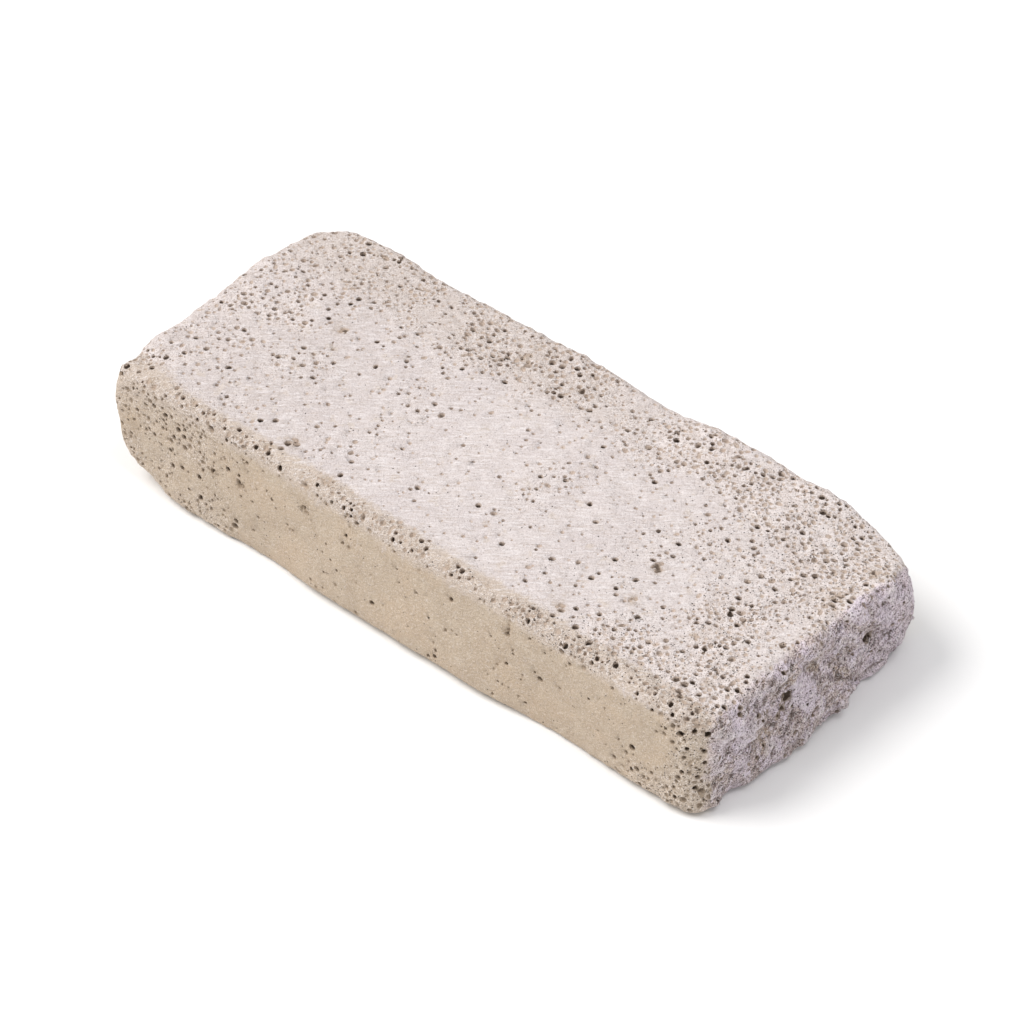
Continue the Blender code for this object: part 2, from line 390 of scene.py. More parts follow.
def smoothstep(low, high, value):
    t = np.clip((value - low) / (high - low), 0, 1)
    return t * t * (3 - 2 * t)


def mix(a, b, t):
    return a + (b - a) * t


def meet(a, b, radius):
    """Distance outside two faces that meet in an edge of this radius."""
    past_a = np.maximum(a + radius, 0)
    past_b = np.maximum(b + radius, 0)
    return np.minimum(np.maximum(a, b), -radius) + np.hypot(past_a, past_b)


def waves(points, cell, seed):
    """Smooth random values from -1 to 1 that change over about one cell."""
    lattice = np.random.default_rng(seed).uniform(-1, 1, (LATTICE,) * 3)
    place = points / cell
    corner = np.floor(place).astype(int)
    part = place - corner
    part = part * part * (3 - 2 * part)
    total = np.zeros(len(points))
    for step in np.ndindex(2, 2, 2):
        weight = np.prod(np.where(step, part, 1 - part), axis=1)
        i, j, k = ((corner + step) % LATTICE).T
        total += weight * lattice[i, j, k]
    return total


def side_distances(points):
    """Distance outside each side of the block; the name says which."""
    x, y, z = points.T
    along = x / LENGTH + 0.5
    across = y / WIDTH + 0.5
    low = 1 - z / THICK_SAWN_END
    near = WIDTH / 2 + NEAR_SIDE_FLARE * along + NEAR_SIDE_FOOT * low
    sawn = LENGTH / 2 + SAWN_END_SKEW * across - SAWN_END_UNDERCUT * low
    broken = LENGTH / 2 - BROKEN_END_SETBACK * (1 - across) + BROKEN_END_FOOT * low
    return {
        "near": -y - near,
        "far": y - WIDTH / 2 - FAR_SIDE_FLARE * along,
        "sawn": -x - sawn,
        "broken": x - broken,
    }


def blended_radius(radii, sides):
    """The edge radius here: each side counts by how close it is."""
    weights = {name: np.exp(np.minimum(d, 0) / EDGE_BLEND) for name, d in sides.items()}
    total = sum(weights.values())
    return sum(radii[name] * weight for name, weight in weights.items()) / total


def top_height(points):
    return mix(THICK_SAWN_END, THICK_BROKEN_END, points[:, 0] / LENGTH + 0.5)


def skin(points):
    """About how far each point lies outside the worn block, without its bubbles."""
    x, y, z = points.T
    along = smoothstep(-LENGTH / 2, LENGTH / 2, x)
    across = smoothstep(-WIDTH / 2, WIDTH / 2, y)
    sides = side_distances(points)
    corner = mix(
        mix(CORNER_NEAR_SAWN, CORNER_NEAR_BROKEN, along),
        mix(CORNER_FAR_SAWN, CORNER_FAR_BROKEN, along),
        across,
    )
    around = meet(
        np.maximum(sides["sawn"], sides["broken"]),
        np.maximum(sides["near"], sides["far"]),
        corner,
    )
    height = smoothstep(0.3, 0.7, z / THICK_SAWN_END)
    edge = mix(blended_radius(BASE_EDGE, sides), blended_radius(TOP_EDGE, sides), height)
    distance = meet(around, np.maximum(z - top_height(points), -z), edge)
    off_base = smoothstep(0, FLAT_BELOW, z)
    return distance - off_base * relief(points, sides["broken"])


def relief(points, past_break):
    """Height of the lumps on the skin: small ones all over, big ones on the break."""
    height = np.zeros(len(points))
    for *centre, reach, rise in WORN_SWELLS + BREAK_SWELLS:
        away = ((points / MM - centre) ** 2).sum(axis=1)
        height += rise * MM * np.exp(-away / (2 * reach**2))
    on_break = smoothstep(-BREAK_DEPTH, 0, past_break)
    for number, (cell, rise) in enumerate(SKIN_WAVES):
        height += rise * waves(points, cell, WAVE_SEED + number)
    for number, (cell, rise) in enumerate(BREAK_WAVES):
        rough = waves(points, cell, WAVE_SEED + 10 + number)
        height += on_break * rise * rough
    return height


def break_share(points, soft=0.2 * MM):
    """1 on the torn surface of the broken end, 0 on the worn skin."""
    y, z = points[:, 1:].T
    inside = mix(TORN_INSIDE["face"], TORN_INSIDE["top"], smoothstep(13.5 * MM, 16 * MM, z))
    inside = mix(inside, TORN_INSIDE["near"], smoothstep(-23.5 * MM, -25 * MM, y))
    past = side_distances(points)["broken"] + inside
    for number, (cell, rise) in enumerate(TORN_OUTLINE):
        past = past + rise * waves(points, cell, TORN_OUTLINE_SEED + number)
    return smoothstep(-soft, soft, past)


def strand_places(points):
    """The points with the direction of the torn strands squeezed short."""
    x, y, z = points.T
    slope = np.radians(STRAND_SLOPE)
    along = (y * np.cos(slope) + z * np.sin(slope)) / STRAND_STRETCH
    across = z * np.cos(slope) - y * np.sin(slope)
    return np.stack((x, along, across), axis=1)


def spots_share(points, spots):
    """1, or its own depth, in the middle of each spot of the broken end, fading to 0."""
    y = points[:, 1] / MM + SPOT_WOBBLE * waves(points, SPOT_WOBBLE_CELL, SPOT_SEED)
    z = points[:, 2] / MM + SPOT_WOBBLE * waves(points, SPOT_WOBBLE_CELL, SPOT_SEED + 1)
    share = np.zeros(len(points))
    for spot_y, spot_z, reach, *depth in spots:
        away = (y - spot_y) ** 2 + (z - spot_z) ** 2
        share = np.maximum(share, np.exp(-away / reach**2) * (depth or [1])[0])
    return share


def calm_share(points):
    """1 on the lobes of the torn surface that are smooth, 0 where it is crumbly."""
    lobes = smoothstep(0.2, 0.6, spots_share(points, LOBES))
    stray = 0.5 * smoothstep(0.15, 0.5, waves(points, CALM_CELL, CALM_SEED))
    return np.maximum(lobes, stray)


def break_relief(points):
    """Height of the lobes, crevices, lumps, crumbs and strands of the torn surface.

    Creases part the crumbs, and a cap keeps any crumb from standing out as a spike.
    """
    height = np.zeros(len(points))
    for number, (cell, rise) in enumerate(BREAK_CRUMBS):
        crumbs = waves(points, cell, CRUMB_SEED + number)
        height += rise * np.minimum(2 * np.abs(crumbs) - 0.6, 0.2)
    height *= 1 - CRUMBS_CALMED * calm_share(points)
    for number, (cell, rise) in enumerate(BREAK_LUMPS):
        height += rise * waves(points, cell, LUMP_SEED + number)
    height += STRAND_RISE * waves(strand_places(points), STRAND_CELL, STRAND_SEED)
    height += LOBE_RISE * spots_share(points, LOBES)
    height -= CREVICE_DEPTH * spots_share(points, CREVICES)
    below = top_height(points) - points[:, 2]
    height *= mix(0.25, 1, smoothstep(-0.5 * MM, 2 * MM, below))
    return height * break_share(points) * smoothstep(0, FLAT_BELOW, points[:, 2])


def arris_share(points):
    """1 along the top edge of the near side, 0 a few millimetres away from it."""
    x, y, z = points.T / MM
    wander = ARRIS_WANDER * waves(points, 6 * MM, ARRIS_SEED)
    below = top_height(points) / MM - z
    off = np.hypot(y - ARRIS_Y - wander, below - ARRIS_BELOW_TOP)
    reach = mix(*ARRIS_REACH, smoothstep(44, 58, -x))
    return np.exp(-((off / reach) ** 2))


def top_richness(x, y):
    """Richness of the top, by millimetres: foamy towards the ends and the far edge."""
    to_break = 0.42 * smoothstep(12, 32, x) + 0.58 * smoothstep(38, 51, x + 0.1 * y)
    near_foam = smoothstep(22, 40, x) * smoothstep(-10, -19, y)
    to_sawn = smoothstep(32, 58, -x)
    to_far = smoothstep(3, 19, y)
    level = 0.14 + np.maximum(0.66 * np.maximum(to_break, near_foam), 0.62 * to_far)
    return np.maximum(level, 0.28 + 0.42 * to_sawn)


def side_richness(x, y, z, to_sawn_end):
    """Richness of the sides, by millimetres: foamy near the corners of the block."""
    near = 0.03 + 0.6 * smoothstep(22, 44, -x) + 0.75 * smoothstep(49, 55, x)
    near += 0.4 * smoothstep(36, 50, x) * smoothstep(9, 4, z)
    far = 0.25 + 0.35 * smoothstep(10, 50, x) + 0.3 * smoothstep(20, 50, -x)
    sawn_end = 0.5
    return mix(np.where(y < 0, near, far), sawn_end, to_sawn_end)


def richness(points, ways):
    """How full of open bubbles the skin is here, from 0 for sparse to 1 for foam.

    The ways are the skin's directions outwards.
    """
    x, y, z = points.T / MM
    up = smoothstep(0.5, 0.85, ways[:, 2])
    down = smoothstep(0.5, 0.85, -ways[:, 2])
    top = top_richness(x, y)
    side = side_richness(x, y, z, smoothstep(0.4, 0.8, -ways[:, 0]))
    base = 0.04 + 0.14 * smoothstep(20, 50, np.abs(x))
    level = mix(mix(side, top, up), base, down)
    level = np.maximum(level, 0.8 * arris_share(points))
    patches = waves(points, 9 * MM, PATCH_SEED)
    patches += waves(points, 4 * MM, PATCH_SEED + 1)
    return np.clip(level + 0.25 * patches * (0.3 + level), 0, 1)


def surface_mesh(grid, low, cell, slack=0.0):
    """The surface where the grid of distances is zero, as points and triangles.

    With some slack, from 0 to 1, flat stretches get larger triangles.
    """
    volume = openvdb.FloatGrid(3 * VOXEL)
    volume.copyFromArray(np.clip(grid, -3 * VOXEL, 3 * VOXEL))
    points, triangles, quads = volume.convertToPolygons(isovalue=0.0, adaptivity=slack)
    faces = np.concatenate((triangles, quads[:, [0, 1, 2]], quads[:, [0, 2, 3]]))
    return points * cell + low, faces


def read_grid(grid, low, cell, points):
    """Values of the grid at these places, by straight lines between its own."""
    place = (points - low) / cell
    corner = np.clip(np.floor(place).astype(int), 0, np.array(grid.shape) - 2)
    part = np.clip(place - corner, 0, 1)
    total = np.zeros(len(points))
    for step in np.ndindex(2, 2, 2):
        weight = np.prod(np.where(step, part, 1 - part), axis=1)
        i, j, k = (corner + step).T
        total += weight * grid[i, j, k]
    return total


def grid_ways(grid, low, cell, points):
    """Directions in which the grid's distance grows fastest."""
    ways = np.empty((len(points), 3))
    for axis in range(3):
        step = np.zeros(3)
        step[axis] = 0.75 * cell
        ways[:, axis] = read_grid(grid, low, cell, points + step)
        ways[:, axis] -= read_grid(grid, low, cell, points - step)
    return ways / np.maximum(np.linalg.norm(ways, axis=1), 1e-12)[:, None]


def scattered(rng, count, coarse, low):
    """Random places spread evenly over the skin."""
    points, faces = surface_mesh(coarse, low, VOXEL * COARSE)
    a, b, c = (points[faces[:, n]] for n in range(3))
    areas = np.linalg.norm(np.cross(b - a, c - a), axis=1)
    chosen = rng.choice(len(faces), count, p=areas / areas.sum())
    u, v = rng.random((2, count, 1))
    past = u + v > 1
    u, v = np.where(past, 1 - u, u), np.where(past, 1 - v, v)
    return a[chosen] + u * (b - a)[chosen] + v * (c - a)[chosen]


def uncrowded(places, reaches):
    """Numbers of the bubbles left when each in turn removes later ones that touch it."""
    tree = KDTree(len(places))
    for number, place in enumerate(places):
        tree.insert(place, number)
    tree.balance()
    alive = np.ones(len(places), bool)
    longest = reaches.max()
    kept = []
    for number, place in enumerate(places):
        if not alive[number]:
            continue
        kept.append(number)
        reach = reaches[number]
        for _, other, away in tree.find_range(place, reach + longest):
            if away < reach + reaches[other]:
                alive[other] = False
    return kept


def away_from(places, taken, reaches):
    """Whether each place lies outside every one of the balls already taken."""
    clear = np.ones(len(places), bool)
    for centre, reach in zip(taken, reaches):
        clear &= ((places - centre) ** 2).sum(axis=1) > reach**2
    return clear


def stain_share(points, centres, reaches):
    """How stained the skin is by the noted bubbles nearby, from 0 to 1."""
    stain = np.zeros(len(points))
    for centre, reach in zip(centres, reaches):
        away = ((points - centre) ** 2).sum(axis=1)
        stain = np.maximum(stain, np.exp(-away / reach**2))
    return stain


def on_skin(places, coarse, low):
    """The places moved straight to the skin, in a few steps."""
    cell = VOXEL * COARSE
    for _ in range(STEPS_TO_SKIN):
        past = read_grid(coarse, low, cell, places)
        places = places - grid_ways(coarse, low, cell, places) * past[:, None]
    return places


def noted_bubbles(rng, coarse, low):
    """Places and radii of the bubbles that catch the eye: each is a few run together."""
    noted = np.repeat(np.array(NOTED_BUBBLES) * MM, CLUSTER, axis=0)
    spread = rng.normal(0, CLUSTER_SPREAD, (len(noted), 3))
    places = noted[:, :3] + spread * noted[:, 3:]
    radii = noted[:, 3] * rng.uniform(*CLUSTER_RADII, len(noted))
    crack = np.array(CRACK) * MM
    places = on_skin(np.concatenate((places, crack[:, :3])), coarse, low)
    return places, np.concatenate((radii, crack[:, 3]))


def stray_bubbles(rng, coarse, low):
    """Places and radii of all the others, tried at random with the largest first."""
    all_places, all_radii = [], []
    for smallest, largest, tries, sparse, more in BUBBLE_KINDS:
        spots = scattered(rng, tries, coarse, low)
        ways = grid_ways(coarse, low, VOXEL * COARSE, spots)
        torn = break_share(spots)
        rich = mix(richness(spots, ways), BREAK_RICHNESS, torn)
        taken = rng.random(tries) < sparse * more**rich
        sizes = mix(smallest, largest, rng.random(tries) ** 1.5)
        sizes = sizes * (1 - BREAK_SMALLER * torn) * MM
        all_places.append(spots[taken])
        all_radii.append(sizes[taken])
    return np.concatenate(all_places), np.concatenate(all_radii)


def placed_bubbles(rng, coarse, low):
    """Places and radii of all the open bubbles, and how many of them are noted ones."""
    noted, noted_radii = noted_bubbles(rng, coarse, low)
    strays, stray_radii = stray_bubbles(rng, coarse, low)
    rich = richness(strays, grid_ways(coarse, low, VOXEL * COARSE, strays))
    clear = away_from(strays, noted, noted_radii + WALL)
    strays, stray_radii, rich = strays[clear], stray_radii[clear], rich[clear]
    kept = uncrowded(strays, stray_radii * mix(1.1, 0.94, rich) + WALL / 2)
    places = np.concatenate((noted, strays[kept]))
    return places, np.concatenate((noted_radii, stray_radii[kept])), len(noted)


def bubbles(coarse, low):
    """Centres, radii, long axes and stretches of all the open bubbles.

    Deep ones run straight in, dishes are cut shallow, and the rest lean any way, a little
    along the brush marks.
    """
    rng = np.random.default_rng(BUBBLE_SEED)
    places, radii, noted = placed_bubbles(rng, coarse, low)
    count = len(places)
    ways = grid_ways(coarse, low, VOXEL * COARSE, places)
    rich = richness(places, ways)
    torn = break_share(places)
    kind = rng.random(count)
    kind[:noted] = NOTED_KIND
    deep = kind < mix(*DEEP_BELOW, rich) * (1 - 0.3 * torn)
    dish = kind > mix(*DISH_ABOVE, rich) * (1 - 0.3 * arris_share(places)) + torn
    random_axes = rng.normal(size=(count, 3))
    random_axes /= np.linalg.norm(random_axes, axis=1)[:, None]
    turn = np.radians(STREAK_TURN)
    random_axes += BRUSH_LEAN * np.array((np.cos(turn), np.sin(turn), 0))
    axes = np.where(deep[:, None], ways + DEEP_LEAN * random_axes, random_axes)
    axes /= np.linalg.norm(axes, axis=1)[:, None]
    deep_stretches = rng.uniform(*DEEP_STRETCH, count)
    stretches = np.where(deep, deep_stretches, rng.uniform(*OTHER_STRETCH, count))
    dish_sinks = rng.uniform(*DISH_SINK, count)
    sinks = np.where(dish, dish_sinks, rng.uniform(*ROUND_SINK, count))
    sinks = np.where(deep, rng.uniform(*DEEP_SINK, count), sinks)
    centres = places - ways * (radii * sinks)[:, None]
    return centres, radii, axes, stretches


def upsampled(values, factor):
    """The grid made finer by straight lines between its values."""
    for axis in range(3):
        values = np.moveaxis(values, axis, 0)
        steps = np.arange((len(values) - 1) * factor + 1) / factor
        low = np.minimum(steps.astype(int), len(values) - 2)
        part = (steps - low).astype(np.float32)[:, None, None]
        values = values[low] * (1 - part) + values[low + 1] * part
        values = np.moveaxis(values, 0, axis)
    return np.ascontiguousarray(values)


def grid_size():
    """Lowest corner of the grid and its count of coarse cells each way."""
    low = np.array(BLOCK_LOW) * MM - GRID_MARGIN
    high = np.array(BLOCK_HIGH) * MM + GRID_MARGIN
    return low, np.ceil((high - low) / (VOXEL * COARSE)).astype(int)


def grid_points(low, cells, cell):
    """The places of a grid's values, one after another, and the grid's shape."""
    axes = [low[n] + np.arange(cells[n] + 1) * cell for n in range(3)]
    points = np.stack(np.meshgrid(*axes, indexing="ij"), axis=-1)
    return points.reshape(-1, 3), points.shape[:3]


def grain(shape, factor, seed):
    """Small random lumps, from -1 to 1, on a grid of this shape."""
    rng = np.random.default_rng(seed)
    small = [int(np.ceil(n / factor)) + 1 for n in shape]
    values = rng.uniform(-1, 1, small).astype(np.float32)
    return upsampled(values, factor)[: shape[0], : shape[1], : shape[2]]


def skin_grit(coarse, low, points):
    """Height of the grit at each place of the coarse grid: high in foam and on edges."""
    ways = np.stack(np.gradient(coarse), axis=-1).reshape(-1, 3)
    ways /= np.maximum(np.linalg.norm(ways, axis=1), 1e-12)[:, None]
    height = mix(GRIT_SMOOTH, GRIT_ROUGH, richness(points, ways))
    return height.reshape(coarse.shape).astype(np.float32)


def roughen_break(grid, low):
    """Adds the torn surface's lumps and strands to the grid's broken end."""
    start = int((BREAK_BEGINS - low[0]) / VOXEL)
    part = grid[start:]
    spots = np.argwhere(np.abs(part) < BREAK_REACH)
    height = break_relief(low + (spots + (start, 0, 0)) * VOXEL)
    part[tuple(spots.T)] -= height


def block_means(grid, factor):
    """The grid averaged over cubes of this many steps a side."""
    cells = np.array(grid.shape) // factor
    grid = grid[: cells[0] * factor, : cells[1] * factor, : cells[2] * factor]
    blocks = grid.reshape(cells[0], factor, cells[1], factor, cells[2], factor)
    return blocks.mean(axis=(1, 3, 5))


def crests(grid, low, points):
    """How far each point stands out (+) or lies in a hollow (-), in millimetres."""
    means = block_means(np.clip(grid, -CREST_LIMIT, CREST_LIMIT), CREST_STEPS)
    middle = low + (CREST_STEPS - 1) / 2 * VOXEL
    return read_grid(means, middle, CREST_STEPS * VOXEL, points) / MM


def cut_bubbles(grid, low, coarse, uneven):
    """Cuts every bubble out of the grid of distances."""
    for centre, radius, axis, stretch in zip(*bubbles(coarse, low)):
        reach = radius * stretch + 3 * VOXEL
        first = np.maximum(np.floor((centre - reach - low) / VOXEL).astype(int), 0)
        last = np.ceil((centre + reach - low) / VOXEL).astype(int) + 1
        box = tuple(slice(a, b) for a, b in zip(first, last))
        part = grid[box]
        spans = [low[n] + (first[n] + np.arange(part.shape[n])) * VOXEL for n in range(3)]
        x = spans[0][:, None, None] - centre[0]
        y = spans[1][None, :, None] - centre[1]
        z = spans[2][None, None, :] - centre[2]
        along = x * axis[0] + y * axis[1] + z * axis[2]
        squeezed = 1 - 1 / stretch**2
        away = np.sqrt(np.maximum(x * x + y * y + z * z - squeezed * along * along, 0))
        grid[box] = np.maximum(part, radius - away + UNEVEN * radius * uneven[box])


def mesh_object(name, points, faces):
    mesh = bpy.data.meshes.new(name)
    mesh.vertices.add(len(points))
    mesh.vertices.foreach_set("co", points.astype(np.float32).ravel())
    mesh.loops.add(3 * len(faces))
    mesh.loops.foreach_set("vertex_index", faces.astype(np.int32).ravel())
    mesh.polygons.add(len(faces))
    mesh.polygons.foreach_set("loop_start", np.arange(len(faces), dtype=np.int32) * 3)
    mesh.update(calc_edges=True)
    mesh.validate()
    made = bpy.data.objects.new(name, mesh)
    bpy.context.scene.collection.objects.link(made)
    return made


def thinned(piece, most):
    """The piece with no more faces than this, kept where the shape needs them."""
    modifier = piece.modifiers.new("fewer faces", "DECIMATE")
    modifier.ratio = min(1, most / len(piece.data.polygons))
    graph = bpy.context.evaluated_depsgraph_get()
    mesh = bpy.data.meshes.new_from_object(piece.evaluated_get(graph))
    piece.modifiers.clear()
    old = piece.data
    piece.data = mesh
    bpy.data.meshes.remove(old)


def arrays_of(mesh):
    points = np.empty(len(mesh.vertices) * 3, np.float32)
    mesh.vertices.foreach_get("co", points)
    faces = np.empty(len(mesh.loops), np.int32)
    mesh.loops.foreach_get("vertex_index", faces)
    return points.reshape(-1, 3).astype(float), faces.reshape(-1, 3)


def main_body(points, faces):
    """The points and faces without the crumbs that no longer join the block."""
    labels = np.arange(len(points))
    while True:
        lowest = labels[faces].min(axis=1)
        new = labels.copy()
        for corner in range(3):
            np.minimum.at(new, faces[:, corner], lowest)
        new = new[new]
        if (new == labels).all():
            break
        labels = new
    biggest = np.bincount(labels[faces[:, 0]]).argmax()
    faces = faces[labels[faces[:, 0]] == biggest]
    used = np.unique(faces)
    renumber = np.zeros(len(points), int)
    renumber[used] = np.arange(len(used))
    return points[used], renumber[faces]


def add_attribute(mesh, name, values):
    attribute = mesh.attributes.new(name, "FLOAT", "POINT")
    attribute.data.foreach_set("value", values.astype(np.float32))


def upright_share(ways, below):
    """1 on the sides and round the base, 0 on the top, at its edge and on the base."""
    steep = smoothstep(0.75, 0.2, ways[:, 2]) * smoothstep(0.99, 0.9, -ways[:, 2])
    return steep * smoothstep(-0.4 * MM, 3.4 * MM, below)


def stone_grids():
    """The grids that the stone is read off, and their lowest corner.

    They hold distances outside the coarse block, the same block in fine steps, that block
    with its grit and torn end, and at last with its bubbles open.
    """
    low, cells = grid_size()
    points, shape = grid_points(low, cells, VOXEL * COARSE)
    coarse = skin(points).reshape(shape).astype(np.float32)
    worn = upsampled(coarse, COARSE)
    uneven = grain(worn.shape, GRIT_CELL, GRIT_SEED)
    grit = uneven + KNOBS * grain(worn.shape, KNOB_CELL, KNOB_SEED)
    solid = worn - upsampled(skin_grit(coarse, low, points), COARSE) * grit
    roughen_break(solid, low)
    base = (-(np.arange(worn.shape[2]) * VOXEL + low[2])).astype(np.float32)
    solid = np.maximum(solid, base[None, None, :])
    opened = solid.copy()
    cut_bubbles(opened, low, coarse, uneven)
    return low, coarse, worn, solid, opened


def make_stone():
    """The block with all its bubbles, as one mesh with values that its colours read."""
    low, coarse, worn, solid, opened = stone_grids()
    piece = mesh_object("pumice_skin", *surface_mesh(opened, low, VOXEL, MESH_SLACK))
    thinned(piece, MOST_FACES)
    points, faces = main_body(*arrays_of(piece.data))
    bpy.data.objects.remove(piece)
    points[:, 2] = np.maximum(points[:, 2], 0)
    stone = mesh_object("pumice_skin", points - BOX_MIDDLE, faces)

    depth = np.maximum(-read_grid(solid, low, VOXEL, points), 0)
    below = top_height(points) - points[:, 2]
    ways = grid_ways(coarse, low, VOXEL * COARSE, points)
    noted = np.array(NOTED_BUBBLES + CRACK) * MM
    noted[len(NOTED_BUBBLES) :, 3] *= CRACK_STAIN
    centres = on_skin(noted[:, :3], coarse, low)
    values = {
        "depth": depth / MM,
        "sunk": (-read_grid(worn, low, VOXEL, points) - depth) / MM,
        "crest": crests(opened, low, points),
        "torn": break_share(points, soft=0.6 * MM),
        "calm": calm_share(points),
        "brown": spots_share(points, BROWN_PATCHES),
        "edge": arris_share(points),
        "stain": stain_share(points, centres, STAIN_REACH * noted[:, 3]),
        "rich": richness(points, ways),
        "upright": upright_share(ways, below),
    }
    for name in VALUES:
        add_attribute(stone.data, name, values[name])
    stone.data.polygons.foreach_set("use_smooth", np.ones(len(faces), bool))
    normals = grid_ways(opened, low, VOXEL, points)
    stone.data.normals_split_custom_set_from_vertices(normals)
    return stone


class Nodes:
    """Short names for the shader nodes that the materials are made of."""

    def __init__(self, material):
        material.use_nodes = True
        self.tree = material.node_tree
        self.surface = self.tree.nodes["Principled BSDF"]

    def add(self, kind, **settings):
        node = self.tree.nodes.new(kind)
        for name, value in settings.items():
            setattr(node, name, value)
        return node

    def put(self, value, socket):
        """Links the value to the socket, or sets it there if it is a plain number."""
        if isinstance(value, bpy.types.NodeSocket):
            self.tree.links.new(value, socket)
        elif isinstance(value, tuple) and socket.type == "RGBA":
            socket.default_value = (*value, 1)
        else:
            socket.default_value = value

    def attribute(self, name):
        return self.add("ShaderNodeAttribute", attribute_name=name).outputs["Fac"]

    def math(self, operation, *values):
        node = self.add("ShaderNodeMath", operation=operation)
        for value, socket in zip(values, node.inputs):
            self.put(value, socket)
        return node.outputs[0]

    def ramp(self, value, low, high, to_low=0.0, to_high=1.0):
        """The value from low to high, eased into to_low to to_high."""
        node = self.add("ShaderNodeMapRange", interpolation_type="SMOOTHSTEP")
        for name, number in (
            ("Value", value),
            ("From Min", low),
            ("From Max", high),
            ("To Min", to_low),
            ("To Max", to_high),
        ):
            self.put(number, node.inputs[name])
        return node.outputs["Result"]

    def blend(self, share, a, b):
        """Colour a, mixed with this share of colour b."""
        node = self.add("ShaderNodeMix", data_type="RGBA")
        colours = [socket for socket in node.inputs if socket.type == "RGBA"]
        self.put(a, colours[0])
        self.put(b, colours[1])
        self.put(share, node.inputs["Factor"])
        return next(socket for socket in node.outputs if socket.type == "RGBA")

    def tint(self, base, colour, value, low, high, most, where=None):
        """The base, tinted as the value goes from low to high, up to this share."""
        share = self.ramp(value, low, high, 0, most)
        if where is not None:
            share = self.math("MULTIPLY", share, where)
        return self.blend(share, base, colour)

    def place(self, turn=(0, 0, 0), stretch=(1, 1, 1)):
        """Position on the object in millimetres, turned and stretched."""
        position = self.add("ShaderNodeTexCoord").outputs["Object"]
        mapping = self.add("ShaderNodeMapping", vector_type="TEXTURE")
        mapping.inputs["Rotation"].default_value = np.radians(turn)
        mapping.inputs["Scale"].default_value = np.array(stretch) * MM
        self.put(position, mapping.inputs["Vector"])
        return mapping.outputs["Vector"]

    def noise(self, place, cell, detail=2.0, roughness=0.5):
        """Cloudy values about 0.5 that change over about this many millimetres."""
        node = self.add("ShaderNodeTexNoise")
        self.put(place, node.inputs["Vector"])
        self.put(1 / cell, node.inputs["Scale"])
        self.put(detail, node.inputs["Detail"])
        self.put(roughness, node.inputs["Roughness"])
        return node.outputs["Fac"]

    def pits(self, place, cell, share, smallest, largest):
        """Depth from 0 to 1 of tiny round pits, in this share of the cells."""
        node = self.add("ShaderNodeTexVoronoi")
        self.put(place, node.inputs["Vector"])
        self.put(1 / cell, node.inputs["Scale"])
        chance = self.add("ShaderNodeSeparateColor")
        self.put(node.outputs["Color"], chance.inputs[0])
        away = self.math("MULTIPLY", node.outputs["Distance"], cell)
        size = self.ramp(chance.outputs[0], 0, 1, smallest, largest)
        depth = self.ramp(self.math("DIVIDE", away, size), 1.0, 0.45)
        present = self.math("LESS_THAN", chance.outputs[1], share)
        return self.math("MULTIPLY", depth, present)


def skin_values(n):
    """What the stone's colours are mixed from: values on the mesh, places and noises."""
    v = SimpleNamespace(**{name: n.attribute(name) for name in VALUES})
    v.plain = n.place()
    brushed = n.place(turn=(0, 0, STREAK_TURN), stretch=(6, 1, 1))
    fibres = n.place(turn=(-STRAND_SLOPE, 0, 0), stretch=(1, 1, STRAND_STRETCH))
    v.clouds = n.noise(v.plain, 9, 3)
    v.mottle = n.noise(v.plain, 2.4, 4, 0.6)
    v.patches = n.noise(v.plain, 1.0, 3, 0.6)
    v.streaks = n.noise(brushed, 0.35, 3, 0.65)
    v.fibre = n.noise(fibres, 0.45, 3, 0.65)
    v.grit = n.noise(v.plain, 0.5, 2, 0.6)
    v.grain = n.noise(v.plain, 0.2, 1, 0.6)
    parts = n.add("ShaderNodeSeparateXYZ")
    n.put(v.plain, parts.inputs[0])
    v.x, v.y = parts.outputs["X"], parts.outputs["Y"]
    v.coarse = n.math("MAXIMUM", n.ramp(v.rich, 0.2, 0.8, 0.35, 0.85), v.torn)
    unbrushed = n.math("MAXIMUM", n.ramp(v.upright, 0, 1, 0, 0.7), v.torn)
    v.brushed = n.math("SUBTRACT", 1.0, unbrushed)
    return v


def worn_colour(n, v):
    """Powdery white and foam on top, tan on the sides, with a ragged line between."""
    powder = n.blend(n.ramp(v.clouds, 0.35, 0.65), *POWDER)
    powder = n.tint(powder, POWDER_AT_SAWN_END, v.x, -10, -40, 0.8)
    foam = n.blend(n.ramp(v.mottle, 0.4, 0.6), *FOAM)
    top = n.blend(n.ramp(v.rich, 0.3, 0.9), powder, foam)
    top = n.tint(top, TOP_BLOTCH, v.mottle, 0.58, 0.68, 0.35)
    top = n.tint(top, TOP_FAR_EDGE, v.x, 20, -5, 0.55, where=n.ramp(v.y, 9, 17))
    tan = n.blend(n.ramp(v.mottle, 0.35, 0.65), *TAN)
    tan = n.tint(tan, TAN_WARM, v.clouds, 0.45, 0.65, 0.5)
    tan = n.tint(tan, TAN_FOAM, v.rich, 0.3, 0.9, 0.5)
    ragged = n.math("MULTIPLY_ADD", v.patches, 1.2, n.math("SUBTRACT", v.upright, 1.1))
    ragged = n.math("ADD", v.mottle, ragged)
    colour = n.blend(n.ramp(ragged, 0.2, 0.8), top, tan)
    band = n.math("MULTIPLY_ADD", v.patches, 0.8, n.math("SUBTRACT", v.edge, 0.4))
    colour = n.tint(colour, ARRIS, band, 0.15, 0.6, 0.9)
    patchy = n.ramp(v.patches, 0.3, 0.6, 0.14, 0.7)
    return n.blend(n.math("MULTIPLY", v.stain, patchy), colour, STAIN)


